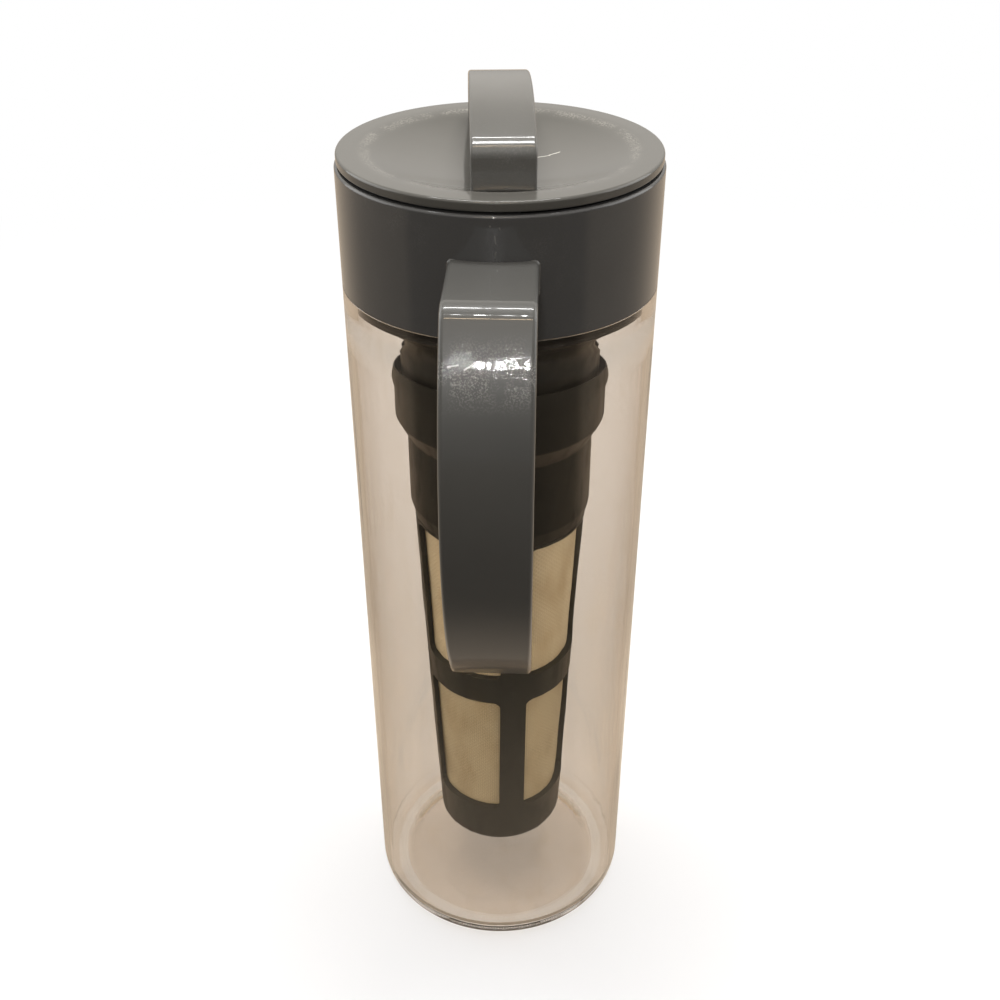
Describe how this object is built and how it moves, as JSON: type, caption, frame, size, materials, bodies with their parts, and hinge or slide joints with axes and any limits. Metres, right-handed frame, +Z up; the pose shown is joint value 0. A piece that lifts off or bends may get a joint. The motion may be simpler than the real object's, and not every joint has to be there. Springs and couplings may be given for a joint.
{
  "type": "iced tea pitcher",
  "caption": "Tall clear pitcher with a dark collar and open-ended handle, a quarter-turn lid with a carry strap, and a mesh tea infuser screwed to the lid.",
  "frame": {"origin": "on the jar's axis, in the plane of the foot ring that it stands on", "axes": "+Z up along the jar's axis, -Y towards the handle, +X to the right of someone facing the handle"},
  "size_m": [0.1, 0.1487, 0.325],
  "materials": {
    "clear_plastic": "clear moulded copolyester",
    "charcoal_plastic": "glossy moulded polypropylene",
    "black_plastic": "satin moulded polypropylene",
    "silicone": "black silicone",
    "filter_mesh": "fine woven nylon"
  },
  "bodies": {
    "pitcher": {"pitcher_body": "clear_plastic", "collar_gasket": "silicone", "collar": "charcoal_plastic", "handle_shell": "charcoal_plastic", "handle_grip": "black_plastic"},
    "seal_ring": {"lid_seal": "silicone"},
    "lid": {"lid_cap": "charcoal_plastic", "lid_strap": "charcoal_plastic", "lid_plug": "black_plastic", "lid_spigot": "black_plastic"},
    "washer": {"infuser_seal": "silicone"},
    "infuser": {"infuser_ring": "black_plastic", "infuser_frame": "black_plastic", "mesh_upper_1": "filter_mesh", "mesh_upper_2": "filter_mesh", "mesh_upper_3": "filter_mesh", "mesh_upper_4": "filter_mesh", "mesh_lower_1": "filter_mesh", "mesh_lower_2": "filter_mesh", "mesh_lower_3": "filter_mesh", "mesh_lower_4": "filter_mesh"}
  },
  "joints": [
    {"name": "lid_lift", "type": "slide", "parent": "pitcher", "child": "seal_ring", "axis": [0, 0, 1], "range_m": [0, 0.285]},
    {"name": "lid_twist", "type": "hinge", "parent": "seal_ring", "child": "lid", "pos_m": [0, 0, 0.26], "axis": [0, 0, 1], "range_deg": [-40, 0]},
    {"name": "infuser_drop", "type": "slide", "parent": "lid", "child": "washer", "axis": [0, 0, -1], "range_m": [0, 0.008]},
    {"name": "infuser_twist", "type": "hinge", "parent": "washer", "child": "infuser", "pos_m": [0, 0, 0.22], "axis": [0, 0, -1], "range_deg": [0, 720]}
  ],
  "couplings": [
    {"joint": "infuser_drop", "follows": "infuser_twist", "m_per_rad": 0.00063662}
  ]
}
